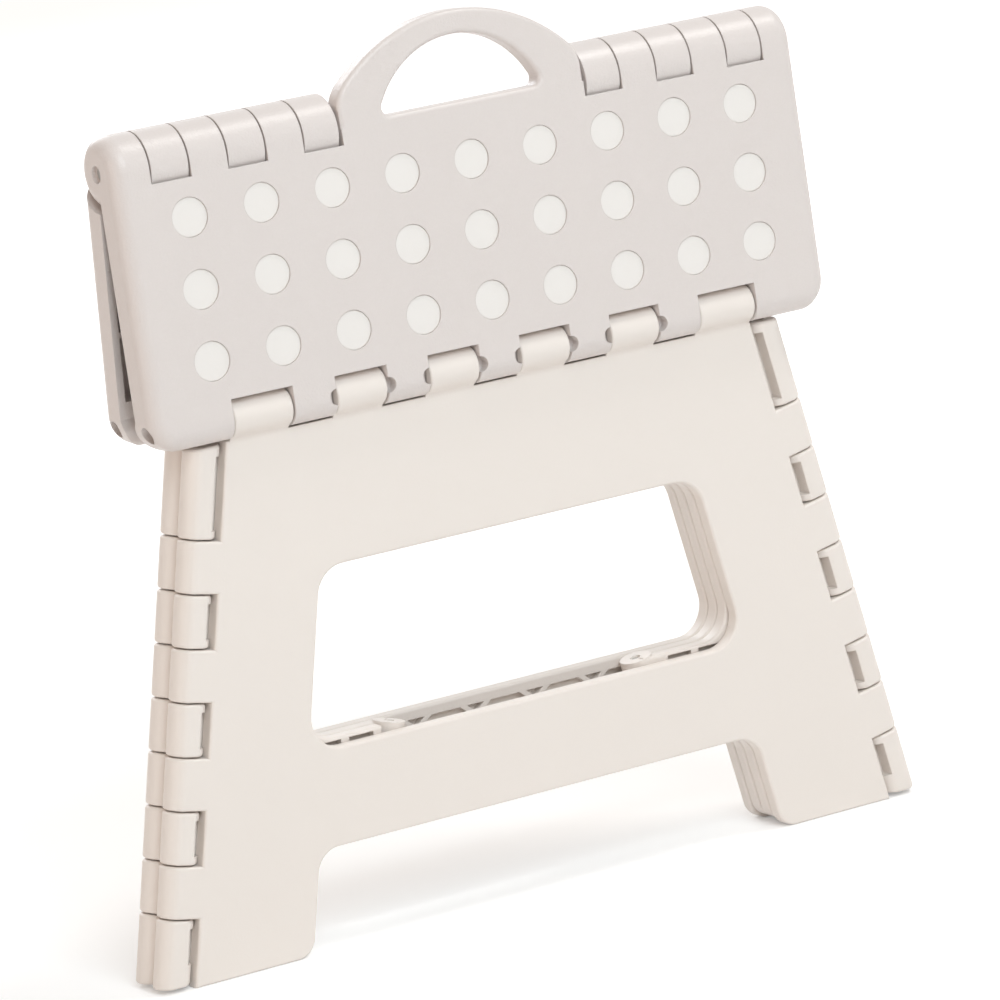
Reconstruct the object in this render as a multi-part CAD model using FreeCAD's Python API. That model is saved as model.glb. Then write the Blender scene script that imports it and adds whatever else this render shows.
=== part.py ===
import FreeCAD, Part
import math
import os

# Folding step stool, folded flat and standing on its feet with the carrying handle up.
# X runs along the stool, the dotted front half faces -Y, Z is up, sizes are in millimetres.
# The origin is on the floor, midway between the two leg panels.

Vector = FreeCAD.Vector
ORIGIN = Vector(0, 0, 0)
UP = Vector(0, 0, 1)
LENGTHWISE = Vector(1, 0, 0)

# Platform halves
deck_length = 296.0
deck_pivot_span = 96.0
deck_edge_depth = 7.5
deck_centre_depth = 13.5
deck_plate = 3.2
deck_wall = 3.0
deck_rib = 2.0
deck_rim_round = 6.0
deck_outer_corner_r = 12.0

# Centre hinge between the platform halves
centre_knuckle_pitch = 16.0
centre_end_knuckle = 13.0
centre_swing_gap = 1.2
centre_side_gap = 0.7
centre_pin_r = 2.5
centre_pin_play = 0.5
centre_pin_wall = 2.0
centre_pin_recess = 1.8

# Carrying handle on the front half, measured from the centre hinge axis
handle_half_width = 53.0
handle_rise = 35.5
handle_arc_r = 70.0
handle_shoulder_r = 15.0
handle_thickness = 9.0
handle_root = 9.0
handle_round = 2.0
handle_clearance = 1.0
grip_flat_rise = 1.7
grip_rise = 26.4
grip_arc_r = 38.0
grip_corner_r = 3.0

# Anti-slip dots
dot_r = 7.3
dot_column_pitch = 30.0
dot_row_pitch = 26.5
dot_first_row = 22.7
dot_end_margin = 25.0
dot_rows = 3
dot_pocket_depth = 1.8
dot_pocket_gap = 0.05
dot_sunk = 0.5
dot_round = 0.15
dot_handle_margin = 4.5

# Outer hinges between platform halves and leg panels
edge_axis_height = 206.0
edge_axis_setback = 0.8
edge_barrel_r = 7.2
edge_barrel_pitch = 40.0
edge_barrel_width = 21.2
edge_end_barrel_centre = 101.9
edge_end_barrel_width = 24.8
edge_barrel_round = 0.8
edge_blend_r = 3.0
edge_side_gap = 0.5
edge_swing_gap = 0.4
edge_pin_r = 2.5
edge_scallop_r = 3.0
edge_scallop_floor = 3.2
pin_play = 0.05
pin_mouth_r = 3.25
pin_recess = 6.0

# Folded stack: four layers of panel between the two outer faces
layer_pitch = 6.5
layer_gap = 0.4
panel_skin = 2.7
panel_rim = 3.2
panel_rib = 2.0
panel_round = 1.1

# Leg panels
leg_top_gap = 0.7
corner_foot_x = 163.5
corner_lean = 11.64
post_width = 50.75
window_bottom = 75.5
window_top = 143.4
window_corner_r = 12.0
arch_top = 38.6
arch_corner_r = 10.0
foot_width = 58.0
foot_corner_r = 8.0
sill_step = 2.3
sill_truss_pitch = 26.5
sill_truss_bays = 7
sill_vee_width = 13.0
sill_vee_height = 5.5
top_truss_pitch = 36.0
top_truss_bays = 4

# Corner hinges, measured along their slanted axes from the floor
corner_first_knuckle = 27.0
corner_knuckle_pitch = 20.0
corner_knuckle_count = 7
corner_knuckle_gap = 0.6
corner_barrel_r = 6.8
corner_blend_r = 4.0
corner_swing_gap = 0.4
corner_slot_start = 3.2
corner_cheek = 3.0
corner_pin_r = 2.0
corner_pin_inset = 2.5
corner_pocket_margin = 4.8

# End panels
end_foot_lift = 1.6
end_top_gap = 0.8
end_top_land = 12.0
end_mid_clearance = 3.0
rail_flange = 1.2
rail_pocket_height = 8.0
rail_pocket_length = 10.5
rail_pocket_pitch = 14.0
mid_knuckles_per_rail = 3
mid_knuckle_gap = 0.6
mid_swing_gap = 0.5
mid_pin_r = 2.0
mid_pin_inset = 1.0

# Values worked out from the driving dimensions
half_length = deck_length / 2
dot_columns = 2 * int((half_length - dot_end_margin) // dot_column_pitch) + 1
knuckle_room = half_length - handle_half_width - centre_end_knuckle - centre_knuckle_pitch
centre_knuckle_count = 2 * int(knuckle_room // (2 * centre_knuckle_pitch)) + 1
deck_drop = deck_centre_depth - deck_edge_depth
barrel_r = layer_pitch - layer_gap / 2
panel_thickness = layer_pitch - layer_gap
pocket_depth = panel_thickness - panel_skin
leg_front = -(2 * layer_pitch - layer_gap / 2)
leg_back = leg_front + panel_thickness
end_front = -(layer_pitch - layer_gap / 2)
end_back = -layer_gap / 2
edge_axis_y = leg_front + edge_axis_setback
end_width = deck_pivot_span + edge_axis_y + layer_pitch
leg_top = edge_axis_height - deck_edge_depth - leg_top_gap
lean_sin = math.sin(math.radians(corner_lean))
lean_cos = math.cos(math.radians(corner_lean))
corner_slope = lean_sin / lean_cos
corner_wall = corner_barrel_r + corner_swing_gap
mid_wall = barrel_r + mid_swing_gap
end_top = leg_top - end_top_gap
inner_sill = window_bottom + sill_step
pivot_reach = math.hypot(deck_pivot_span, deck_drop)
deck_lean = math.degrees(math.asin(-edge_axis_y / pivot_reach) - math.atan2(deck_drop, deck_pivot_span))
far = 2 * (deck_length + edge_axis_height)
tiny = 1e-6


def box(x0, x1, y0, y1, z0, z1):
    """Block between two corners."""
    return Part.makeBox(x1 - x0, y1 - y0, z1 - z0, Vector(x0, y0, z0))


def rod(radius, x0, x1, y, z):
    """Round bar along X."""
    return Part.makeCylinder(radius, x1 - x0, Vector(x0, y, z), LENGTHWISE)


def rounded_wire(corners, place):
    """Closed outline through corners (a, b, radius), each rounded by a tangent arc."""
    stops = []
    for index, (a, b, radius) in enumerate(corners):
        corner = place(a, b)
        before = place(*corners[index - 1][:2]) - corner
        after = place(*corners[(index + 1) % len(corners)][:2]) - corner
        before.normalize()
        after.normalize()
        half_turn = before.getAngle(after) / 2
        reach = radius / math.tan(half_turn)
        inward = before + after
        inward.normalize()
        middle = corner + inward * (radius / math.sin(half_turn) - radius)
        stops.append((radius, corner + before * reach, middle, corner + after * reach))
    edges = []
    for index, (radius, start, middle, end) in enumerate(stops):
        if radius > 0:
            edges.append(Part.Arc(start, middle, end).toShape())
        edges.append(Part.LineSegment(end, stops[(index + 1) % len(stops)][1]).toShape())
    return Part.Wire(edges)


def upright_prism(corners, y0, y1):
    """Outline in X and Z, extruded along Y."""
    face = Part.Face(rounded_wire(corners, lambda a, b: Vector(a, y0, b)))
    return face.extrude(Vector(0, y1 - y0, 0))


def flat_prism(corners, z0, z1):
    """Outline in X and Y, extruded along Z."""
    face = Part.Face(rounded_wire(corners, lambda a, b: Vector(a, b, z0)))
    return face.extrude(Vector(0, 0, z1 - z0))


def sharp(points):
    """Corners with no rounding."""
    return [(a, b, 0) for a, b in points]


def corner_x(z):
    """Distance of the right corner hinge axis from the middle, at a height."""
    return corner_foot_x - z * corner_slope


def window_x(z):
    """Half width of the window at a height."""
    return corner_x(z) - post_width


def arch_x(z):
    """Half width of the arch at a height."""
    return corner_x(z) - foot_width


def mid_x(z):
    """Distance of the right middle hinge axis from the middle, at a height."""
    return corner_x(z) - end_width / lean_cos


def slanted_point(along, inward):
    """X and Z of a point given along the right corner axis and square to it."""
    x = corner_foot_x - along * lean_sin - inward * lean_cos
    z = along * lean_cos - inward * lean_sin
    return x, z


def along_mid(z):
    """Place along the slanted direction of the middle axis' point at a height."""
    return (z + end_width * lean_sin) / lean_cos


def slanted_rod(radius, along0, along1, inward, y):
    """Round bar along the right corner direction."""
    x, z = slanted_point(along0, inward)
    return Part.makeCylinder(radius, along1 - along0, Vector(x, y, z), Vector(-lean_sin, 0, lean_cos))


def slanted_block(along0, along1, inward0, inward1, y0, y1):
    """Block square to the right corner direction."""
    points = [
        slanted_point(along0, inward0),
        slanted_point(along1, inward0),
        slanted_point(along1, inward1),
        slanted_point(along0, inward1),
    ]
    return upright_prism(sharp(points), y0, y1)


def mirrored(shape):
    """The same shape on the left side."""
    return shape.mirror(ORIGIN, LENGTHWISE)


def turned_to_back(shape):
    """The same shape turned half round, for the other side of the stool."""
    copy = shape.copy()
    copy.rotate(ORIGIN, UP, 180)
    return copy


def corner_bounds():
    """Knuckle boundaries along the corner axis."""
    return [corner_first_knuckle + corner_knuckle_pitch * i for i in range(corner_knuckle_count + 1)]


def end_knuckle_ranges(low, high):
    """Stretches of the corner axis that belong to the end panel."""
    bounds = [low] + corner_bounds() + [high]
    return list(zip(bounds[0::2], bounds[1::2]))


def leg_knuckle_ranges():
    """Stretches of the corner axis that belong to the leg panel."""
    bounds = corner_bounds()
    return list(zip(bounds[0::2], bounds[1::2]))


def edge_barrels():
    """Stretches of the outer hinge axis that belong to the leg panel, on the right side."""
    half = edge_barrel_width / 2
    half_end = edge_end_barrel_width / 2
    first = edge_barrel_pitch / 2
    second = first + edge_barrel_pitch
    inner = [(first - half, first + half), (second - half, second + half)]
    return inner, (edge_end_barrel_centre - half_end, edge_end_barrel_centre + half_end)


def both_sides(ranges):
    """Stretches along X with their mirror images."""
    return ranges + [(-high, -low) for low, high in ranges]


def inset(points, distance):
    """Convex outline drawn in by a distance."""
    count = len(points)
    middle_a = sum(p[0] for p in points) / count
    middle_b = sum(p[1] for p in points) / count
    lines = []
    for index, (a0, b0) in enumerate(points):
        a1, b1 = points[(index + 1) % count]
        length = math.hypot(a1 - a0, b1 - b0)
        normal = ((b0 - b1) / length, (a1 - a0) / length)
        if (middle_a - a0) * normal[0] + (middle_b - b0) * normal[1] < 0:
            normal = (-normal[0], -normal[1])
        lines.append((normal, normal[0] * a0 + normal[1] * b0 + distance))
    drawn = []
    for index in range(count):
        (na, nb), c = lines[index - 1]
        (ma, mb), d = lines[index]
        scale = na * mb - nb * ma
        drawn.append(((c * mb - d * nb) / scale, (na * d - ma * c) / scale))
    return drawn


def truss_pockets(z0, z1, pitch, bays, y0, y1):
    """Triangles between the ribs of a zigzag truss."""
    start = -pitch * bays / 2
    triangles = []
    for bay in range(bays):
        left = start + pitch * bay
        triangles.append([(left, z0), (left + pitch, z0), (left + pitch / 2, z1)])
    for bay in range(bays - 1):
        left = start + pitch * (bay + 0.5)
        triangles.append([(left, z1), (left + pitch, z1), (left + pitch / 2, z0)])
    return [upright_prism(sharp(inset(points, panel_rib / 2)), y0, y1) for points in triangles]


def post_pocket(z0, z1, outer, inner, y0, y1):
    """Pocket between two heights in a slanted post, given as offsets from the corner axis."""
    points = [
        (corner_x(z0) - outer, z0),
        (corner_x(z1) - outer, z1),
        (corner_x(z1) - inner, z1),
        (corner_x(z0) - inner, z0),
    ]
    return upright_prism(sharp(points), y0, y1)


def post_pockets(top, y0, y1):
    """Pockets of the right post: foot, sill, window and top stretches."""
    outer = corner_wall / lean_cos + corner_pocket_margin
    inner = post_width - panel_rim
    foot_inner = foot_width - panel_rim
    half_rib = panel_rib / 2
    return [
        post_pocket(end_foot_lift + panel_rim, arch_top - half_rib, outer, foot_inner, y0, y1),
        post_pocket(arch_top + half_rib, window_bottom - half_rib, outer, inner, y0, y1),
        post_pocket(window_bottom + half_rib, window_top - half_rib, outer, inner, y0, y1),
        post_pocket(window_top + half_rib, top, outer, inner, y0, y1),
    ]


def runs_along_corner(edge):
    """Whether an edge is straight and follows the right corner direction."""
    run = edge.Vertexes[-1].Point - edge.Vertexes[0].Point
    return abs(run.dot(Vector(-lean_sin, 0, lean_cos))) > edge.Length - tiny


def corner_barrel(low, high):
    """Bar of the right corner hinge, flattened and blended where it is thicker than the panels."""
    if corner_barrel_r <= barrel_r:
        return slanted_rod(corner_barrel_r, low, high, 0, -layer_pitch)
    lift = barrel_r - corner_blend_r
    start = math.sqrt((corner_barrel_r - corner_blend_r) ** 2 - lift ** 2)
    turn = math.atan2(lift, start)
    half_turn = (math.pi / 2 + turn) / 2
    touch = (corner_barrel_r * math.cos(turn), corner_barrel_r * math.sin(turn))
    bend = (start + corner_blend_r * math.cos(half_turn), lift + corner_blend_r * math.sin(half_turn))
    stops = [
        (start, -barrel_r),
        (bend[0], -bend[1]),
        (touch[0], -touch[1]),
        (corner_barrel_r, 0),
        touch,
        bend,
        (start, barrel_r),
        (-start, barrel_r),
    ]
    edges = []
    for side in (1, -1):
        points = []
        for inward, y in stops:
            x, z = slanted_point(low, side * inward)
            points.append(Vector(x, side * y - layer_pitch, z))
        for index in (0, 2, 4):
            edges.append(Part.Arc(*points[index:index + 3]).toShape())
        edges.append(Part.LineSegment(*points[-2:]).toShape())
    along = Vector(-lean_sin, 0, lean_cos) * (high - low)
    return Part.Face(Part.Wire(edges)).extrude(along)


def corner_knuckle(low, high, z0, z1):
    """Knuckle of the right corner hinge, flush with the panels' faces, its ends rounded."""
    barrel = corner_barrel(low, high).common(box(-far, far, -far, far, z0, z1))
    return barrel.makeFillet(panel_round, [edge for edge in barrel.Edges if not runs_along_corner(edge)])


def eased(plate, y, keep):
    """Plate with a small round on those edges of one face whose middle passes a test."""
    chosen = []
    for edge in plate.Edges:
        limits = edge.BoundBox
        if abs(limits.YMin - y) < tiny and abs(limits.YMax - y) < tiny:
            middle = edge.valueAt((edge.FirstParameter + edge.LastParameter) / 2)
            if keep(abs(middle.x), middle.z):
                chosen.append(edge)
    return plate.makeFillet(panel_round, chosen)


def corner_notches():
    """Gaps in the leg panel for the end panels' knuckles."""
    half_gap = corner_knuckle_gap / 2
    reach = leg_top / lean_cos + corner_barrel_r
    notches = []
    for low, high in end_knuckle_ranges(-corner_barrel_r, reach):
        notch = slanted_block(low - half_gap, high + half_gap, -far, corner_wall, -far, far)
        notches += [notch, mirrored(notch)]
    return notches


def vee_pockets(z1, y0, y1):
    """Pockets inside and between a row of V ribs that hang from a height."""
    z0 = z1 - sill_vee_height
    half = sill_vee_width / 2
    count = sill_truss_bays - 1
    pockets = []
    for index in range(count):
        middle = (index - (count - 1) / 2) * sill_truss_pitch
        pockets.append([(middle - half, z1), (middle + half, z1), (middle, z0)])
    for index in range(count - 1):
        left = (index - (count - 1) / 2) * sill_truss_pitch
        right = left + sill_truss_pitch
        pockets.append([(left + half, z1), (right - half, z1), (right, z0), (left, z0)])
    return [upright_prism(sharp(inset(points, panel_rib / 2)), y0, y1) for points in pockets]


def leg_plate(sill):
    """Flat leg panel with window and arch, edges eased, the outer face's all round."""
    outline = [
        (-corner_x(0), 0, 0),
        (-arch_x(0), 0, foot_corner_r),
        (-arch_x(arch_top), arch_top, arch_corner_r),
        (arch_x(arch_top), arch_top, arch_corner_r),
        (arch_x(0), 0, foot_corner_r),
        (corner_x(0), 0, 0),
        (corner_x(leg_top), leg_top, 0),
        (-corner_x(leg_top), leg_top, 0),
    ]
    window = [
        (-window_x(sill), sill, window_corner_r),
        (window_x(sill), sill, window_corner_r),
        (window_x(window_top), window_top, window_corner_r),
        (-window_x(window_top), window_top, window_corner_r),
    ]
    plate = upright_prism(outline, leg_front, leg_back)
    plate = plate.cut([upright_prism(window, -far, far)] + corner_notches())

    def free_edge(x, z):
        return x < corner_x(z) - panel_round and z < leg_top - panel_round

    def beside_opening(x, z):
        return x < corner_x(z) - corner_wall - panel_rim and z < window_top + panel_round

    return eased(eased(plate, leg_front, free_edge), leg_back, beside_opening)


def edge_barrel(low, high):
    """Barrel on top of a leg panel, blended into the panel's face."""
    axis = (edge_axis_y, edge_axis_height)
    barrel = rod(edge_barrel_r, low, high, *axis)
    barrel = barrel.makeFillet(edge_barrel_round, [e for e in barrel.Edges if e.BoundBox.XLength < tiny])
    blend_y = leg_front - edge_blend_r
    reach = edge_barrel_r + edge_blend_r
    blend_z = edge_axis_height - math.sqrt(reach ** 2 - (blend_y - edge_axis_y) ** 2)
    share = edge_barrel_r / reach
    touch_y = edge_axis_y + (blend_y - edge_axis_y) * share
    touch_z = edge_axis_height + (blend_z - edge_axis_height) * share
    toward_y = (leg_front + touch_y) / 2 - blend_y
    toward_z = (blend_z + touch_z) / 2 - blend_z
    scale = edge_blend_r / math.hypot(toward_y, toward_z)
    start = Vector(low, leg_front, blend_z)
    middle = Vector(low, blend_y + toward_y * scale, blend_z + toward_z * scale)
    end = Vector(low, touch_y, touch_z)
    centre = Vector(low, *axis)
    shoulder = Vector(low, leg_back, edge_axis_height - edge_barrel_r / 2)
    heel = Vector(low, leg_back, blend_z)
    edges = [Part.Arc(start, middle, end).toShape()]
    for first, second in [(end, centre), (centre, shoulder), (shoulder, heel), (heel, start)]:
        edges.append(Part.LineSegment(first, second).toShape())
    web = Part.Face(Part.Wire(edges)).extrude(Vector(high - low, 0, 0))
    return barrel.fuse(web)


def leg_panel(sill):
    """Front leg panel with its window's lower edge at a height."""
    half_gap = corner_knuckle_gap / 2
    solids = []
    for low, high in leg_knuckle_ranges():
        knuckle = corner_knuckle(low + half_gap, high - half_gap, 0, leg_top)
        solids += [knuckle, mirrored(knuckle)]
    inner, end = edge_barrels()
    solids += [edge_barrel(low, high) for low, high in both_sides(inner + [end])]
    bore = slanted_rod(corner_pin_r, -far, far, 0, -layer_pitch)
    cuts = [bore, mirrored(bore)]
    cuts.append(rod(edge_pin_r + pin_play, -half_length, half_length, edge_axis_y, edge_axis_height))
    y0 = leg_back - pocket_depth
    vee_top = sill - panel_rim
    vee_foot = vee_top - sill_vee_height
    cuts += vee_pockets(vee_top, y0, far)
    cuts += truss_pockets(arch_top + panel_rim, vee_foot, sill_truss_pitch, sill_truss_bays, y0, far)
    top_truss = (window_top + panel_rim, leg_top - panel_rim)
    cuts += truss_pockets(*top_truss, top_truss_pitch, top_truss_bays, y0, far)
    for pocket in post_pockets(leg_top - panel_rim, y0, far):
        cuts += [pocket, mirrored(pocket)]
    return leg_plate(sill).fuse(solids).cut(cuts)


def mid_top():
    """Height of an end panel at its middle hinge, clear of the centre knuckles of the open stool."""
    open_height = edge_axis_height - deck_drop - deck_centre_depth - centre_swing_gap - end_mid_clearance
    return open_height - end_width * lean_sin


def mid_bounds():
    """Knuckle boundaries along the middle hinge, for the lower and the upper rail."""
    rails = [(arch_top, inner_sill), (window_top, mid_top())]
    bounds = []
    for low, high in rails:
        start = along_mid(low)
        step = (along_mid(high) - start) / mid_knuckles_per_rail
        bounds.append([start + step * i for i in range(mid_knuckles_per_rail + 1)])
    return bounds


def end_plate():
    """Flat right front end panel: post, two rails and foot."""
    outline = [
        (corner_x(end_foot_lift), end_foot_lift, 0),
        (corner_x(end_top), end_top, 0),
        (corner_x(end_top) - end_top_land, end_top, 0),
        (mid_x(mid_top()), mid_top(), 0),
        (mid_x(window_top), window_top, 0),
        (window_x(window_top), window_top, window_corner_r),
        (window_x(inner_sill), inner_sill, window_corner_r),
        (mid_x(inner_sill), inner_sill, 0),
        (mid_x(arch_top), arch_top, 0),
        (arch_x(arch_top), arch_top, arch_corner_r),
        (arch_x(end_foot_lift), end_foot_lift, foot_corner_r),
    ]
    plate = upright_prism(outline, end_front, end_back)

    def beside_opening(x, z):
        inside = mid_x(z) + panel_round < x < corner_x(z) - panel_round
        return inside and end_foot_lift + panel_round < z < window_top + panel_round

    return eased(eased(plate, end_front, beside_opening), end_back, beside_opening)


def corner_slots(ranges):
    """Slots behind the end panel's corner knuckles, between their cheeks, the lowest one a pitch long."""
    first = (ranges[0][1] - corner_knuckle_pitch, ranges[0][1])
    margin = corner_knuckle_gap / 2 + corner_cheek
    width = (corner_slot_start, corner_wall)
    return [
        slanted_block(low + margin, high - margin, *width, -far, end_front)
        for low, high in [first] + ranges[1:-1] + [(ranges[-1][0], end_top / lean_cos)]
    ]


def rail_pockets():
    """Pockets under the flange of the right front end panel's lower rail."""
    z1 = inner_sill - rail_flange
    z0 = z1 - rail_pocket_height
    start = mid_x(z0) + mid_wall / lean_cos + panel_rib
    pockets = []
    for index in range(int((window_x(inner_sill) - start) // rail_pocket_pitch)):
        left = start + rail_pocket_pitch * index
        pockets.append(box(left, left + rail_pocket_length, -far, end_front + pocket_depth, z0, z1))
    return pockets


def end_panel(odd_knuckles):
    """Right front end panel, with the odd or the even knuckles of the middle hinge."""
    half_gap = corner_knuckle_gap / 2
    ranges = end_knuckle_ranges(-corner_barrel_r, end_top / lean_cos + corner_barrel_r)
    solids = [corner_knuckle(low + half_gap, high - half_gap, end_foot_lift, end_top) for low, high in ranges]
    cuts = corner_slots(ranges)
    for low, high in leg_knuckle_ranges():
        cuts.append(slanted_block(low - half_gap, high + half_gap, -far, corner_wall, -far, far))
    half_gap = mid_knuckle_gap / 2
    for bounds in mid_bounds():
        for index in range(mid_knuckles_per_rail):
            low = bounds[index]
            high = bounds[index + 1]
            if (index % 2 == 0) == odd_knuckles:
                solids.append(slanted_rod(barrel_r, low + half_gap, high - half_gap, end_width, 0))
            else:
                low -= barrel_r if index == 0 else -half_gap
                high += barrel_r if index == mid_knuckles_per_rail - 1 else -half_gap
                low -= mid_knuckle_gap
                high += mid_knuckle_gap
                cuts.append(slanted_block(low, high, end_width - mid_wall, far, -barrel_r, 0))
    cuts.append(slanted_rod(corner_pin_r + pin_play, -far, far, 0, -layer_pitch))
    mid_bore = mid_pin_r if odd_knuckles else mid_pin_r + pin_play
    for bounds in mid_bounds():
        cuts.append(slanted_rod(mid_bore, bounds[0] - barrel_r, bounds[-1] + barrel_r, end_width, 0))
    cuts += post_pockets(mid_top(), -far, end_front + pocket_depth)
    cuts += rail_pockets()
    return end_plate().fuse(solids).cut(cuts)


def corner_pin():
    """Right front corner pin."""
    top = end_top / lean_cos - corner_pin_inset
    return slanted_rod(corner_pin_r, corner_pin_inset, top, 0, -layer_pitch)


def mid_pin(bounds):
    """Pin of one rail of the right middle hinge."""
    return slanted_rod(mid_pin_r, bounds[0] + mid_pin_inset, bounds[-1] - mid_pin_inset, end_width, 0)


def centre_bounds():
    """Knuckle boundaries of the centre hinge along X, on the right side."""
    inner = [handle_half_width + centre_knuckle_pitch * i for i in range(centre_knuckle_count + 1)]
    return inner + [half_length]


def centre_ranges(front):
    """Stretches of the centre hinge that belong to the front or the back half, on the right side."""
    bounds = centre_bounds()
    pairs = list(zip(bounds[:-1], bounds[1:]))
    return pairs[1::2] if front else pairs[0::2]


def centre_knuckle(low, high):
    """Knuckle of the centre hinge, the last one rounded at its end as the platform's rim is."""
    knuckle = rod(deck_centre_depth, low, high, deck_pivot_span, -deck_drop)
    if high < half_length:
        return knuckle
    outer = [e for e in knuckle.Edges if e.BoundBox.XMin > half_length - tiny]
    return knuckle.makeFillet(deck_rim_round, outer)


def deck_blank():
    """Platform half lying flat, its outer hinge axis along X through the origin, face up."""
    face = deck_edge_depth
    outline = [
        (-half_length, -deck_edge_depth, deck_outer_corner_r),
        (half_length, -deck_edge_depth, deck_outer_corner_r),
        (half_length, deck_pivot_span, 0),
        (-half_length, deck_pivot_span, 0),
    ]
    shell = flat_prism(outline, -far, face)
    rim = []
    for edge in shell.Edges:
        limits = edge.BoundBox
        if limits.ZMin > face - tiny and limits.YMin < deck_pivot_span - tiny:
            rim.append(edge)
    shell = shell.makeFillet(deck_rim_round, rim)
    slab = box(-half_length, half_length, 0, deck_pivot_span, -deck_drop, face)
    return slab.fuse(rod(deck_edge_depth, -half_length, half_length, 0, 0)).common(shell)


def handle_outline(grow):
    """Corners of the handle's outline as arcs and lines, grown by a clearance."""
    half = handle_half_width + grow
    shoulder = handle_shoulder_r + grow
    arc_r = handle_arc_r + grow
    arc_v = deck_pivot_span + handle_rise - handle_arc_r
    shoulder_v = arc_v + math.sqrt((arc_r - shoulder) ** 2 - (half - shoulder) ** 2)
    reach = arc_r / (arc_r - shoulder)
    join = Vector((half - shoulder) * reach, arc_v + (shoulder_v - arc_v) * reach, 0)
    lean = math.atan2(join.y - shoulder_v, join.x - half + shoulder) / 2
    bend = Vector(half - shoulder + shoulder * math.cos(lean), shoulder_v + shoulder * math.sin(lean), 0)
    side = Vector(half, shoulder_v, 0)
    apex = Vector(0, arc_v + arc_r, 0)
    return side, bend, join, apex


def flipped(point):
    """Mirror image of a point on the other side of the middle."""
    return Vector(-point.x, point.y, point.z)


def handle_prism(grow, root, z0, z1):
    """Handle outline from a root line up to its arc, extruded through a thickness."""
    side, bend, join, apex = handle_outline(grow)
    foot = Vector(side.x, root, 0)
    edges = [
        Part.LineSegment(flipped(foot), foot).toShape(),
        Part.LineSegment(foot, side).toShape(),
        Part.Arc(side, bend, join).toShape(),
        Part.Arc(join, apex, flipped(join)).toShape(),
        Part.Arc(flipped(join), flipped(bend), flipped(side)).toShape(),
        Part.LineSegment(flipped(side), flipped(foot)).toShape(),
    ]
    prism = Part.Face(Part.Wire(edges)).extrude(Vector(0, 0, z1 - z0))
    prism.translate(Vector(0, 0, z0))
    return prism


def grip_prism(z0, z1):
    """Finger opening: a round segment on a flat, with rounded corners."""
    flat = deck_pivot_span + grip_flat_rise
    arc_v = deck_pivot_span + grip_rise - grip_arc_r
    corner_v = flat + grip_corner_r
    inner_r = grip_arc_r - grip_corner_r
    corner_half = math.sqrt(inner_r ** 2 - (corner_v - arc_v) ** 2)
    start = Vector(corner_half, flat, 0)
    reach = grip_arc_r / inner_r
    end = Vector(corner_half * reach, arc_v + (corner_v - arc_v) * reach, 0)
    turn = (math.atan2(end.y - corner_v, end.x - corner_half) - math.pi / 2) / 2
    bend = Vector(corner_half + grip_corner_r * math.cos(turn), corner_v + grip_corner_r * math.sin(turn), 0)
    apex = Vector(0, arc_v + grip_arc_r, 0)
    edges = [
        Part.LineSegment(flipped(start), start).toShape(),
        Part.Arc(start, bend, end).toShape(),
        Part.Arc(end, apex, flipped(end)).toShape(),
        Part.Arc(flipped(end), flipped(bend), flipped(start)).toShape(),
    ]
    prism = Part.Face(Part.Wire(edges)).extrude(Vector(0, 0, z1 - z0))
    prism.translate(Vector(0, 0, z0))
    return prism


def handle():
    """Carrying handle with its finger opening, edges rounded."""
    face = deck_edge_depth
    under = face - handle_thickness
    root = deck_pivot_span - handle_root
    plate = handle_prism(0, root, under, face).cut(grip_prism(-far, far))
    chosen = []
    for edge in plate.Edges:
        limits = edge.BoundBox
        if limits.ZLength < tiny and limits.YMax > root + tiny:
            chosen.append(edge)
    return plate.makeFillet(handle_round, chosen)


def handle_notch(grow, z0, z1):
    """Space in the back half that takes the handle when the stool is open."""
    space = handle_prism(handle_clearance + grow, -far, z0, z1)
    return space.mirror(Vector(0, deck_pivot_span, 0), Vector(0, 1, 0))


def dot_places(front):
    """Centres of the dots on the platform, leaving out those the handle notch takes."""
    places = []
    for row in range(dot_rows):
        v = dot_first_row + dot_row_pitch * row
        for column in range(dot_columns):
            x = (column - (dot_columns - 1) / 2) * dot_column_pitch
            near_handle = abs(x) - dot_r < handle_half_width + dot_handle_margin
            notch_start = deck_pivot_span - handle_rise - dot_handle_margin
            if front or not near_handle or v + dot_r < notch_start:
                places.append((x, v))
    return places


def dots(front):
    """Anti-slip dots of one platform half, as separate discs."""
    low = deck_edge_depth - dot_pocket_depth
    discs = []
    for x, v in dot_places(front):
        disc = Part.makeCylinder(dot_r, dot_pocket_depth - dot_sunk, Vector(x, v, low))
        top = [e for e in disc.Edges if e.BoundBox.ZMin > low + tiny]
        discs.append(disc.makeFillet(dot_round, top))
    return Part.makeCompound(discs)


def deck_pockets(front):
    """Hollows between the ribs under the platform, one under each dot place."""
    half_rib = deck_rib / 2
    start = deck_edge_depth + edge_swing_gap + deck_wall
    end = deck_pivot_span - deck_centre_depth - centre_swing_gap - deck_wall
    first_rib = dot_first_row + dot_row_pitch / 2
    rows = [first_rib + dot_row_pitch * i for i in range(dot_rows - 1)]
    columns = [(i - dot_columns / 2) * dot_column_pitch for i in range(dot_columns + 1)]
    v_bounds = [start - half_rib] + rows + [end + half_rib]
    wall_x = half_length - deck_wall + half_rib
    x_bounds = [-wall_x] + columns + [wall_x]
    ceiling = deck_edge_depth - deck_plate
    keep_out = handle_notch(deck_wall, -far, far)
    pockets = []
    for v0, v1 in zip(v_bounds[:-1], v_bounds[1:]):
        for x0, x1 in zip(x_bounds[:-1], x_bounds[1:]):
            pocket = box(x0 + half_rib, x1 - half_rib, v0 + half_rib, v1 - half_rib, -far, ceiling)
            pockets.append(pocket if front else pocket.cut(keep_out))
    return pockets


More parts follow.
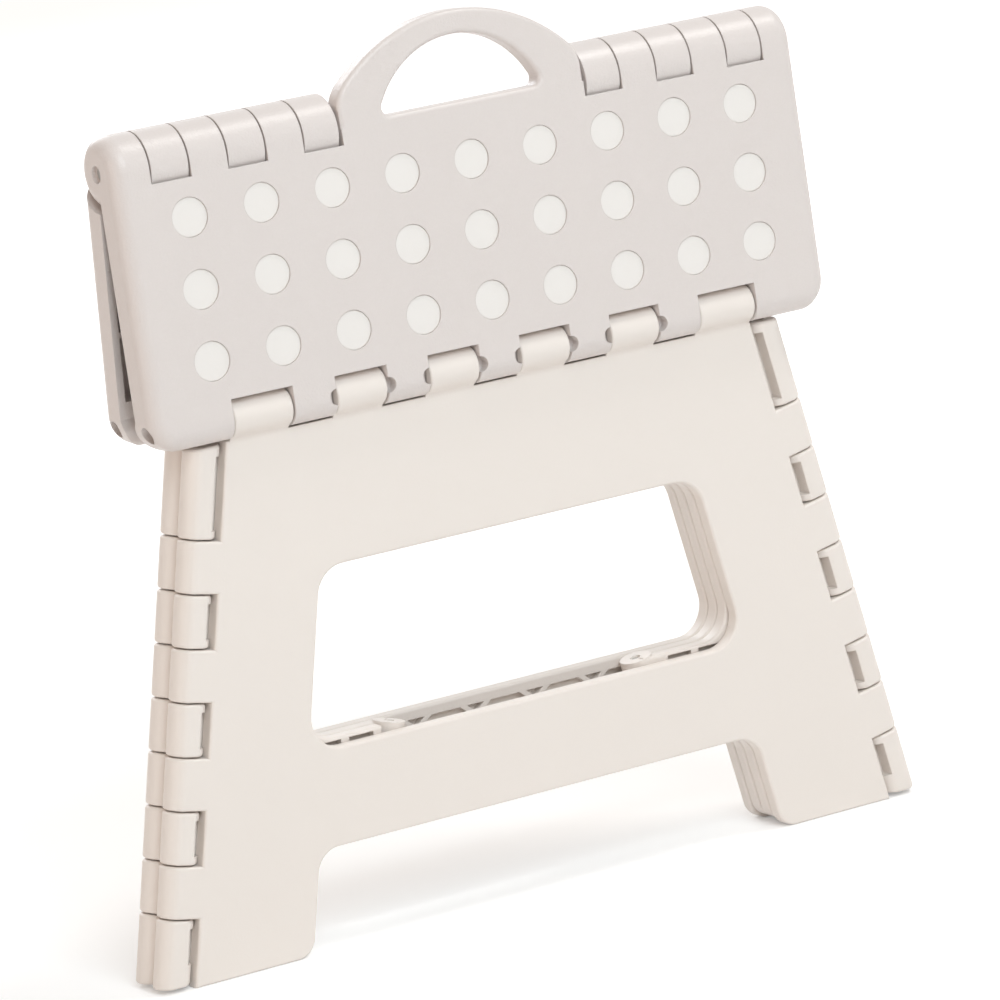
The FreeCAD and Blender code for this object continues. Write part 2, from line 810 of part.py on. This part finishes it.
def edge_cuts():
    """Notches for the leg panels' barrels, with the scallops beside the inner ones."""
    inner, end = edge_barrels()
    depth = edge_barrel_r + edge_swing_gap
    cuts = []
    for low, high in both_sides(inner + [end]):
        cuts.append(box(low - edge_side_gap, high + edge_side_gap, -far, depth, -far, far))
    for low, high in both_sides(inner):
        for x in (low - edge_side_gap, high + edge_side_gap):
            cuts.append(Part.makeCylinder(edge_scallop_r, far, Vector(x, 0, edge_scallop_floor)))
    return cuts


def pin_mouths(y, z, end):
    """Wider hole mouths outside both ends of a pin."""
    return [rod(pin_mouth_r, end, far, y, z), rod(pin_mouth_r, -far, -end, y, z)]


def edge_bore_end():
    """Where the outer hinge's bore comes out of the rounded platform corner."""
    rise = deck_outer_corner_r - deck_edge_depth
    return half_length - deck_outer_corner_r + math.sqrt(deck_outer_corner_r ** 2 - rise ** 2)


def deck(front):
    """One platform half, lying flat."""
    axis = (deck_pivot_span, -deck_drop)
    knuckles = []
    for low, high in centre_ranges(front):
        knuckle = centre_knuckle(low, high)
        knuckles += [knuckle, mirrored(knuckle)]
    body = deck_blank().fuse(knuckles)
    half_gap = centre_side_gap / 2
    swing_r = deck_centre_depth + centre_swing_gap
    cuts = edge_cuts()
    for low, high in both_sides(centre_ranges(not front)):
        low -= half_gap
        high += half_gap
        cuts.append(rod(swing_r, low, high, *axis))
    if front:
        body = body.fuse(handle())
        bore_r = centre_pin_r
    else:
        cuts.append(handle_notch(0, -far, far))
        bore_r = centre_pin_r + centre_pin_play
    bore_start = handle_half_width + half_gap + centre_pin_wall
    cuts.append(rod(bore_r, bore_start, far, *axis))
    cuts.append(rod(bore_r, -far, -bore_start, *axis))
    cuts.append(rod(edge_pin_r, -far, far, 0, 0))
    cuts += pin_mouths(*axis, half_length - centre_pin_recess)
    cuts += pin_mouths(0, 0, edge_bore_end() - pin_recess)
    cuts += deck_pockets(front)
    low = deck_edge_depth - dot_pocket_depth
    for x, v in dot_places(front):
        cuts.append(Part.makeCylinder(dot_r + dot_pocket_gap, far, Vector(x, v, low)))
    return body.cut(cuts)


def edge_pin():
    """Pin of the outer hinge, lying flat with its platform half."""
    half = edge_bore_end() - pin_recess
    return rod(edge_pin_r, -half, half, 0, 0)


def centre_pin():
    """Right pin of the centre hinge, lying flat with the front half."""
    start = handle_half_width + centre_side_gap / 2 + centre_pin_wall
    return rod(centre_pin_r, start, half_length - centre_pin_recess, deck_pivot_span, -deck_drop)


def folded(shape):
    """Move a shape from the flat platform to its folded place at the front."""
    copy = shape.copy()
    copy.rotate(ORIGIN, LENGTHWISE, 90 - deck_lean)
    copy.translate(Vector(0, edge_axis_y, edge_axis_height))
    return copy


def build():
    """Every piece in its folded place, by name."""
    odd_panel = end_panel(True)
    even_panel = end_panel(False)
    pin = corner_pin()
    lower, upper = [mid_pin(bounds) for bounds in mid_bounds()]
    centre = folded(centre_pin())
    edge = folded(edge_pin())
    return {
        "front_deck": folded(deck(True)),
        "back_deck": turned_to_back(folded(deck(False))),
        "front_deck_dots": folded(dots(True)),
        "back_deck_dots": turned_to_back(folded(dots(False))),
        "front_leg_panel": leg_panel(window_bottom),
        "back_leg_panel": turned_to_back(leg_panel(inner_sill)),
        "front_right_end_panel": odd_panel,
        "back_left_end_panel": turned_to_back(odd_panel),
        "front_left_end_panel": mirrored(even_panel),
        "back_right_end_panel": turned_to_back(mirrored(even_panel)),
        "centre_pin_right": centre,
        "centre_pin_left": mirrored(centre),
        "front_deck_pin": edge,
        "back_deck_pin": turned_to_back(edge),
        "front_right_corner_pin": pin,
        "front_left_corner_pin": mirrored(pin),
        "back_left_corner_pin": turned_to_back(pin),
        "back_right_corner_pin": turned_to_back(mirrored(pin)),
        "right_lower_mid_pin": lower,
        "right_upper_mid_pin": upper,
        "left_lower_mid_pin": mirrored(lower),
        "left_upper_mid_pin": mirrored(upper),
    }


os.makedirs("parts", exist_ok=True)
for name, shape in build().items():
    shape.exportStep("parts/" + name + ".step")
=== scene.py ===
import bpy
from mathutils import Matrix, Vector


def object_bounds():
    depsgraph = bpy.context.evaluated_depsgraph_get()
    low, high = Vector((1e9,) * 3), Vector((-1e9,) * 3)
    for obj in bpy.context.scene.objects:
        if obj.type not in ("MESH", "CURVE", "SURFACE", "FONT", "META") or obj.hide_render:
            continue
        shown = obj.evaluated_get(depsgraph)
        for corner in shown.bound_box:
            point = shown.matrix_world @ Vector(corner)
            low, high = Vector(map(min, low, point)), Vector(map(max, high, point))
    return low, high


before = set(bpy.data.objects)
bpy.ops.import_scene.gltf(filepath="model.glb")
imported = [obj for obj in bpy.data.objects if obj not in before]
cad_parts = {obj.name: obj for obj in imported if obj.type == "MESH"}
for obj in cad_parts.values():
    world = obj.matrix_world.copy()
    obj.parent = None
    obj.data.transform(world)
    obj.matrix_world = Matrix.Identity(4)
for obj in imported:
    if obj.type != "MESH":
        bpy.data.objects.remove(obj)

bl_info = {
    "name": "Folding step stool",
    "version": (1, 0, 0),
    "blender": (4, 5, 0),
    "location": "View3D > Sidebar > Stool",
    "description": "Finishes the folded step stool and sets it on a studio floor",
    "category": "Object",
}

CAD_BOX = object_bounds()

PLATFORM_HALVES = ("front_deck", "back_deck")
PANELS = (
    "front_leg_panel",
    "back_leg_panel",
    "front_left_end_panel",
    "back_left_end_panel",
    "front_right_end_panel",
    "back_right_end_panel",
)
DOT_GROUPS = ("front_deck_dots", "back_deck_dots")
PINS = (
    "centre_pin_left",
    "centre_pin_right",
    "front_deck_pin",
    "back_deck_pin",
    "front_left_corner_pin",
    "front_right_corner_pin",
    "back_left_corner_pin",
    "back_right_corner_pin",
    "left_lower_mid_pin",
    "left_upper_mid_pin",
    "right_lower_mid_pin",
    "right_upper_mid_pin",
)


def colour_property(name, description, default):
    """Colour setting."""
    return bpy.props.FloatVectorProperty(
        name=name, description=description, subtype="COLOR", size=3, min=0, max=1, default=default,
    )


def place_property(name, description, default):
    """Setting of a place in the scene."""
    return bpy.props.FloatVectorProperty(
        name=name, description=description, subtype="XYZ", unit="LENGTH", size=3, default=default,
    )


def length_property(name, description, default):
    """Setting of a length."""
    return bpy.props.FloatProperty(
        name=name, description=description, unit="LENGTH", min=0.0001, default=default,
    )


def power_property(name, description, default):
    """Setting of a lamp's power."""
    return bpy.props.FloatProperty(name=name, description=description, unit="POWER", min=0, default=default)


class StoolFinish(bpy.types.PropertyGroup):
    """Colours and edge sizes of the moulded parts."""

    platform_colour: colour_property("Platform", "Colour of the platform halves", (0.75, 0.69, 0.665))
    panel_colour: colour_property("Panels", "Colour of the leg and end panels", (0.86, 0.795, 0.745))
    dot_colour: colour_property("Dots", "Colour of the anti-slip dots", (0.865, 0.83, 0.80))
    pin_colour: colour_property("Pins", "Colour of the steel hinge pins", (0.55, 0.54, 0.52))
    edge_round: length_property("Edge round", "Reach of the soft shading over sharp edges", 0.0005)


class StoolStage(bpy.types.PropertyGroup):
    """Camera, lamps, surroundings and floor."""

    camera_place: place_property("Camera place", "Where the camera stands", (-1.22678, -2.09662, 0.64806))
    camera_right: bpy.props.FloatVectorProperty(
        name="Camera right", description="Direction of the picture's right side", subtype="DIRECTION",
        size=3, default=(0.844816, -0.522834, -0.113708),
    )
    camera_forward: bpy.props.FloatVectorProperty(
        name="Camera forward", description="Direction in which the camera looks", subtype="DIRECTION",
        size=3, default=(0.495854, 0.844882, -0.200756),
    )
    lens: bpy.props.FloatProperty(
        name="Lens", description="Focal length on a 36 mm wide picture, in millimetres", default=237.6, min=1,
    )
    floor_size: length_property("Floor size", "Side of the square floor", 24.0)
    floor_reach: length_property("Floor reach", "Distance at which the lamps' light on the floor fades", 1.8)
    near_lift: bpy.props.FloatProperty(
        name="Near lift", description="Light added to the seen floor at the stool", default=0.2, min=0,
    )
    far_lift: bpy.props.FloatProperty(
        name="Far lift", description="Light added to the seen floor far behind", default=0.6, min=0,
    )
    sky_colour: colour_property("Sky colour", "Colour of the even light from all round", (1.0, 0.92, 0.84))
    sky_strength: bpy.props.FloatProperty(
        name="Sky light", description="Strength of the even light from all round", default=0.41, min=0,
    )
    key_place: place_property("Key place", "Where the large front lamp hangs", (-0.3, -1.9, 1.6))
    key_colour: colour_property("Key colour", "Colour of the large front lamp", (0.83, 0.94, 1.0))
    key_size: length_property("Key size", "Side of the large front lamp", 1.4)
    key_power: power_property("Key power", "Power of the large front lamp", 27.0)
    side_place: place_property("Side place", "Where the warm side lamp hangs", (-2.0, -0.3, 0.7))
    side_colour: colour_property("Side colour", "Colour of the warm side lamp", (1.0, 0.64, 0.42))
    side_size: length_property("Side size", "Side of the warm side lamp", 1.0)
    side_power: power_property("Side power", "Power of the warm side lamp", 4.5)
    top_place: place_property("Top place", "Where the small upper lamp hangs", (1.0, -0.4, 1.9))
    top_colour: colour_property("Top colour", "Colour of the small upper lamp", (1.0, 0.98, 0.96))
    top_size: length_property("Top size", "Side of the small upper lamp", 0.5)
    top_power: power_property("Top power", "Power of the small upper lamp", 11.0)
    back_place: place_property("Back place", "Where the lamp behind the stool hangs", (0.15, 2.0, 1.3))
    back_colour: colour_property("Back colour", "Colour of the lamp behind the stool", (0.9, 0.95, 1.0))
    back_size: length_property("Back size", "Side of the lamp behind the stool", 1.4)
    back_power: power_property("Back power", "Power of the lamp behind the stool", 19.0)


def deselect_all():
    """Nothing selected, in object mode."""
    if bpy.context.mode != "OBJECT":
        bpy.ops.object.mode_set(mode="OBJECT")
    bpy.ops.object.select_all(action="DESELECT")


def feed(tree, socket, value):
    """Link a socket to another one, or set its value."""
    if isinstance(value, bpy.types.NodeSocket):
        tree.links.new(value, socket)
    else:
        socket.default_value = value


def fill(tree, made, values):
    """Feed a node's inputs by name, and set lower-case names as its attributes."""
    for name, value in values.items():
        if name[0].islower():
            setattr(made, name, value)
        else:
            feed(tree, made.inputs[name.replace("_", " ")], value)
    return made


def add_node(tree, kind, **values):
    """Shader node with its values."""
    return fill(tree, tree.nodes.new(kind), values)


def add_maths(tree, operation, *values):
    """Result of a sum on values or sockets."""
    made = tree.nodes.new("ShaderNodeMath")
    made.operation = operation
    for socket, value in zip(made.inputs, values):
        feed(tree, socket, value)
    return made.outputs[0]


def add_mix(tree, share, first, second):
    """Colour between two colours."""
    made = tree.nodes.new("ShaderNodeMix")
    made.data_type = "RGBA"
    for socket, value in zip((made.inputs[0], made.inputs[6], made.inputs[7]), (share, first, second)):
        feed(tree, socket, value)
    return made.outputs[2]


def add_group(tree, group, **values):
    """A node group placed in a material with its own values."""
    made = tree.nodes.new("ShaderNodeGroup")
    made.node_tree = group
    return fill(tree, made, values)


def new_group(name, inputs, outputs):
    """Empty shader node group with its sockets, inputs given as (name, type, default)."""
    group = bpy.data.node_groups.new(name, "ShaderNodeTree")
    for label, kind, default in inputs:
        socket = group.interface.new_socket(label, in_out="INPUT", socket_type=kind)
        if default is not None:
            socket.default_value = default
    for label, kind in outputs:
        group.interface.new_socket(label, in_out="OUTPUT", socket_type=kind)
    entry = group.nodes.new("NodeGroupInput")
    leave = group.nodes.new("NodeGroupOutput")
    return group, entry.outputs, leave.inputs


def moulding_grain():
    """Fine spark-eroded grain of a mould: its height, its speckle and the gloss that varies with it."""
    found = bpy.data.node_groups.get("moulding_grain")
    if found:
        return found
    group, given, out = new_group(
        "moulding_grain",
        [
            ("Vector", "NodeSocketVector", None),
            ("Grain Scale", "NodeSocketFloat", 1600.0),
            ("Cloud Scale", "NodeSocketFloat", 30.0),
            ("Gloss", "NodeSocketFloat", 0.45),
            ("Gloss Spread", "NodeSocketFloat", 0.08),
        ],
        [("Height", "NodeSocketFloat"), ("Speckle", "NodeSocketFloat"), ("Roughness", "NodeSocketFloat")],
    )
    place = given["Vector"]
    fine = add_node(group, "ShaderNodeTexNoise", Vector=place, Scale=given["Grain Scale"], Detail=2.0)
    cells = add_node(group, "ShaderNodeTexVoronoi", Vector=place, Scale=given["Grain Scale"])
    cloud = add_node(group, "ShaderNodeTexNoise", Vector=place, Scale=given["Cloud Scale"], Detail=3.0)
    pits = add_maths(group, "MULTIPLY", cells.outputs["Distance"], 0.5)
    height = add_maths(group, "ADD", fine.outputs["Fac"], pits)
    centred = add_maths(group, "SUBTRACT", cloud.outputs["Fac"], 0.5)
    rough = add_maths(group, "MULTIPLY_ADD", centred, given["Gloss Spread"], given["Gloss"])
    group.links.new(height, out["Height"])
    group.links.new(fine.outputs["Fac"], out["Speckle"])
    group.links.new(rough, out["Roughness"])
    return group


def soft_edges():
    """Normals that run round sharp edges, and a mask of the edges for their painted edge highlight and slight
    rub, broken up as by handling.
    """
    found = bpy.data.node_groups.get("soft_edges")
    if found:
        return found
    group, given, out = new_group(
        "soft_edges",
        [
            ("Vector", "NodeSocketVector", None),
            ("Radius", "NodeSocketFloat", 0.0005),
            ("Amount", "NodeSocketFloat", 0.5),
        ],
        [("Normal", "NodeSocketVector"), ("Mask", "NodeSocketFloat")],
    )
    round_off = add_node(group, "ShaderNodeBevel", samples=4, Radius=given["Radius"])
    shape = group.nodes.new("ShaderNodeNewGeometry")
    turn = group.nodes.new("ShaderNodeVectorMath")
    turn.operation = "DOT_PRODUCT"
    group.links.new(round_off.outputs["Normal"], turn.inputs[0])
    group.links.new(shape.outputs["Normal"], turn.inputs[1])
    bent = add_maths(group, "SUBTRACT", 1.0, turn.outputs["Value"])
    edge = add_node(group, "ShaderNodeMapRange", Value=bent, From_Min=0.02, From_Max=0.3)
    patch = add_node(group, "ShaderNodeTexNoise", Vector=given["Vector"], Scale=90.0, Detail=4.0)
    broken = add_maths(group, "MULTIPLY", edge.outputs["Result"], patch.outputs["Fac"])
    group.links.new(round_off.outputs["Normal"], out["Normal"])
    group.links.new(add_maths(group, "MULTIPLY", broken, given["Amount"]), out["Mask"])
    return group


def flow_tint():
    """Slow drift of a moulded colour towards a second tone."""
    found = bpy.data.node_groups.get("flow_tint")
    if found:
        return found
    group, given, out = new_group(
        "flow_tint",
        [
            ("Vector", "NodeSocketVector", None),
            ("Scale", "NodeSocketFloat", 14.0),
            ("Amount", "NodeSocketFloat", 0.5),
        ],
        [("Mask", "NodeSocketFloat")],
    )
    drift = add_node(group, "ShaderNodeTexNoise", Vector=given["Vector"], Scale=given["Scale"], Detail=4.0)
    group.links.new(add_maths(group, "MULTIPLY", drift.outputs["Fac"], given["Amount"]), out["Mask"])
    return group


def shaded(colour, share):
    """Opaque colour made lighter or darker by a share."""
    return (*(part * share for part in colour), 1.0)


def moulded_plastic(name, finish, colour, gloss, grain_scale, grain_depth, speckle, specular):
    """Material of a moulded part: drifting tone, fine grain and soft edges, painted lighter as an edge
    highlight with a slight rub.
    """
    made = bpy.data.materials.new(name)
    made.use_nodes = True
    tree = made.node_tree
    shader = tree.nodes["Principled BSDF"]
    place = tree.nodes.new("ShaderNodeTexCoord").outputs["Object"]
    tint = add_group(tree, flow_tint(), Vector=place, Scale=14.0, Amount=0.8)
    tone = add_mix(tree, tint.outputs["Mask"], shaded(colour, 1.015), shaded(colour, 0.98))
    grain = add_group(tree, moulding_grain(), Vector=place, Grain_Scale=grain_scale, Gloss=gloss)
    dusted = add_maths(tree, "MULTIPLY", grain.outputs["Speckle"], speckle)
    grained = add_mix(tree, dusted, tone, shaded(colour, 0.8))
    edges = add_group(tree, soft_edges(), Vector=place, Radius=finish.edge_round, Amount=0.5)
    # Sharp edges are painted lighter: a painted edge highlight, together with slight rubbed wear.
    edge_highlight_and_rub = add_mix(tree, edges.outputs["Mask"], grained, shaded(colour, 1.06))
    bump = add_node(
        tree, "ShaderNodeBump", Strength=0.5, Distance=grain_depth,
        Height=grain.outputs["Height"], Normal=edges.outputs["Normal"],
    )
    tree.links.new(edge_highlight_and_rub, shader.inputs["Base Color"])
    tree.links.new(grain.outputs["Roughness"], shader.inputs["Roughness"])
    tree.links.new(bump.outputs["Normal"], shader.inputs["Normal"])
    shader.inputs["Specular IOR Level"].default_value = specular
    return made


def pin_steel(finish):
    """Material of the hinge pins: drawn steel with a worn, uneven gloss."""
    made = bpy.data.materials.new("drawn_steel")
    made.use_nodes = True
    tree = made.node_tree
    shader = tree.nodes["Principled BSDF"]
    place = tree.nodes.new("ShaderNodeTexCoord").outputs["Object"]
    tint = add_group(tree, flow_tint(), Vector=place, Scale=60.0, Amount=0.8)
    tone = add_mix(tree, tint.outputs["Mask"], shaded(finish.pin_colour, 1.1), shaded(finish.pin_colour, 0.8))
    grain = add_group(
        tree, moulding_grain(), Vector=place, Grain_Scale=2500.0, Gloss=0.35, Gloss_Spread=0.15,
    )
    bump = add_node(tree, "ShaderNodeBump", Strength=0.4, Distance=0.00002, Height=grain.outputs["Height"])
    tree.links.new(tone, shader.inputs["Base Color"])
    tree.links.new(grain.outputs["Roughness"], shader.inputs["Roughness"])
    tree.links.new(bump.outputs["Normal"], shader.inputs["Normal"])
    shader.inputs["Metallic"].default_value = 1.0
    return made


def dress(nodes, material):
    """One material all over some CAD nodes."""
    for node in nodes:
        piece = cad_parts[node]
        piece.data.materials.clear()
        piece.data.materials.append(material)


class STOOL_OT_platform(bpy.types.Operator):
    """Matte grained plastic on the platform halves"""

    bl_idname = "stool.platform"
    bl_label = "Platform halves"

    def execute(self, context):
        finish = context.scene.stool_finish
        plastic = moulded_plastic(
            "platform_plastic", finish, finish.platform_colour,
            gloss=0.34, grain_scale=1300.0, grain_depth=0.00015, speckle=0.18, specular=0.5,
        )
        dress(PLATFORM_HALVES, plastic)
        return {"FINISHED"}


class STOOL_OT_panels(bpy.types.Operator):
    """Satin plastic on the leg and end panels"""

    bl_idname = "stool.panels"
    bl_label = "Leg and end panels"

    def execute(self, context):
        finish = context.scene.stool_finish
        plastic = moulded_plastic(
            "panel_plastic", finish, finish.panel_colour,
            gloss=0.40, grain_scale=1100.0, grain_depth=0.00004, speckle=0.04, specular=0.4,
        )
        dress(PANELS, plastic)
        return {"FINISHED"}


class STOOL_OT_dots(bpy.types.Operator):
    """Soft rubber finish on the anti-slip dots"""

    bl_idname = "stool.dots"
    bl_label = "Anti-slip dots"

    def execute(self, context):
        finish = context.scene.stool_finish
        rubber = moulded_plastic(
            "dot_rubber", finish, finish.dot_colour,
            gloss=0.65, grain_scale=1300.0, grain_depth=0.00006, speckle=0.04, specular=0.25,
        )
        dress(DOT_GROUPS, rubber)
        return {"FINISHED"}


class STOOL_OT_pins(bpy.types.Operator):
    """Drawn steel finish on the hinge pins"""

    bl_idname = "stool.pins"
    bl_label = "Hinge pins"

    def execute(self, context):
        dress(PINS, pin_steel(context.scene.stool_finish))
        return {"FINISHED"}


def seen_directly(tree):
    """Mask of what the camera sees straight, in a reflection or through something clear."""
    path = tree.nodes.new("ShaderNodeLightPath")
    mirrored = add_maths(tree, "MAXIMUM", path.outputs["Is Camera Ray"], path.outputs["Is Glossy Ray"])
    return add_maths(tree, "MAXIMUM", mirrored, path.outputs["Is Transmission Ray"])


def floor_material(stage):
    """Pale floor that shows an even white to the camera and keeps the stool's shadow."""
    made = bpy.data.materials.new("studio_floor")
    made.use_nodes = True
    tree = made.node_tree
    tree.nodes.clear()
    base = add_node(tree, "ShaderNodeBsdfDiffuse", Color=(0.9, 0.9, 0.9, 1.0))
    place = tree.nodes.new("ShaderNodeTexCoord").outputs["Object"]
    away = tree.nodes.new("ShaderNodeVectorMath")
    away.operation = "LENGTH"
    tree.links.new(place, away.inputs[0])
    lift = add_node(
        tree, "ShaderNodeMapRange", Value=away.outputs["Value"], From_Max=stage.floor_reach,
        To_Min=stage.near_lift, To_Max=stage.far_lift,
    )
    shown = add_maths(tree, "MULTIPLY", seen_directly(tree), lift.outputs["Result"])
    glow = add_node(tree, "ShaderNodeEmission", Strength=shown)
    both = tree.nodes.new("ShaderNodeAddShader")
    tree.links.new(base.outputs[0], both.inputs[0])
    tree.links.new(glow.outputs[0], both.inputs[1])
    add_node(tree, "ShaderNodeOutputMaterial", Surface=both.outputs[0])
    return made


def studio_world(stage):
    """Even tinted light all round that looks white to the camera."""
    world = bpy.data.worlds.new("studio")
    world.use_nodes = True
    tree = world.node_tree
    sky = tuple(part * stage.sky_strength for part in stage.sky_colour)
    shown = add_mix(tree, seen_directly(tree), (*sky, 1.0), (1.0, 1.0, 1.0, 1.0))
    tree.links.new(shown, tree.nodes["Background"].inputs["Color"])
    return world


def square_lamp(name, target, place, colour, size, power):
    """Square soft lamp aimed at a point."""
    data = bpy.data.lights.new(name, "AREA")
    data.shape = "SQUARE"
    data.size = size
    data.energy = power
    data.color = colour
    lamp = bpy.data.objects.new(name, data)
    bpy.context.scene.collection.objects.link(lamp)
    lamp.location = place
    lamp.rotation_euler = (target - Vector(place)).to_track_quat("-Z", "Y").to_euler()


def photo_camera(stage):
    """Camera at the photograph's angle."""
    right = Vector(stage.camera_right).normalized()
    back = -Vector(stage.camera_forward).normalized()
    turn = Matrix((right, back.cross(right), back)).transposed().to_4x4()
    data = bpy.data.cameras.new("photo_camera")
    data.lens = stage.lens
    data.sensor_width = 36
    data.clip_start = 0.1
    data.clip_end = 100
    camera = bpy.data.objects.new("photo_camera", data)
    bpy.context.scene.collection.objects.link(camera)
    camera.matrix_world = Matrix.Translation(Vector(stage.camera_place)) @ turn
    return camera


class STOOL_OT_stage(bpy.types.Operator):
    """Pale floor, soft lamps, white surroundings and the camera"""

    bl_idname = "stool.stage"
    bl_label = "Studio stage"

    def execute(self, context):
        scene = context.scene
        stage = scene.stool_stage
        deselect_all()
        bpy.ops.mesh.primitive_plane_add(size=stage.floor_size, location=(0, 0, CAD_BOX[0].z))
        floor = context.active_object
        floor.name = "studio_floor"
        floor.data.materials.append(floor_material(stage))
        scene.world = studio_world(stage)
        middle = (CAD_BOX[0] + CAD_BOX[1]) / 2
        square_lamp("key", middle, stage.key_place, stage.key_colour, stage.key_size, stage.key_power)
        square_lamp("side", middle, stage.side_place, stage.side_colour, stage.side_size, stage.side_power)
        square_lamp("top", middle, stage.top_place, stage.top_colour, stage.top_size, stage.top_power)
        square_lamp("back", middle, stage.back_place, stage.back_colour, stage.back_size, stage.back_power)
        scene.camera = photo_camera(stage)
        scene.view_settings.view_transform = "Standard"
        return {"FINISHED"}


class STOOL_PT_sidebar(bpy.types.Panel):
    """Stool panel in the 3D view's sidebar"""

    bl_idname = "STOOL_PT_sidebar"
    bl_label = "Folding step stool"
    bl_space_type = "VIEW_3D"
    bl_region_type = "UI"
    bl_category = "Stool"

    def draw(self, context):
        scene = context.scene
        for group in (scene.stool_finish, scene.stool_stage):
            for name in group.__annotations__:
                self.layout.prop(group, name)
        for operator in OPERATORS:
            self.layout.operator(operator.bl_idname)


OPERATORS = (
    STOOL_OT_platform,
    STOOL_OT_panels,
    STOOL_OT_dots,
    STOOL_OT_pins,
    STOOL_OT_stage,
)
CLASSES = (StoolFinish, StoolStage) + OPERATORS + (STOOL_PT_sidebar,)


def register():
    """Add the settings, operators and panel."""
    for kind in CLASSES:
        bpy.utils.register_class(kind)
    bpy.types.Scene.stool_finish = bpy.props.PointerProperty(type=StoolFinish)
    bpy.types.Scene.stool_stage = bpy.props.PointerProperty(type=StoolStage)


def unregister():
    """Take the settings, operators and panel away again."""
    del bpy.types.Scene.stool_stage
    del bpy.types.Scene.stool_finish
    for kind in reversed(CLASSES):
        bpy.utils.unregister_class(kind)


def main():
    """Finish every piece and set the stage."""
    register()
    bpy.ops.stool.platform()
    bpy.ops.stool.panels()
    bpy.ops.stool.dots()
    bpy.ops.stool.pins()
    bpy.ops.stool.stage()


if __name__ == "__main__":
    main()
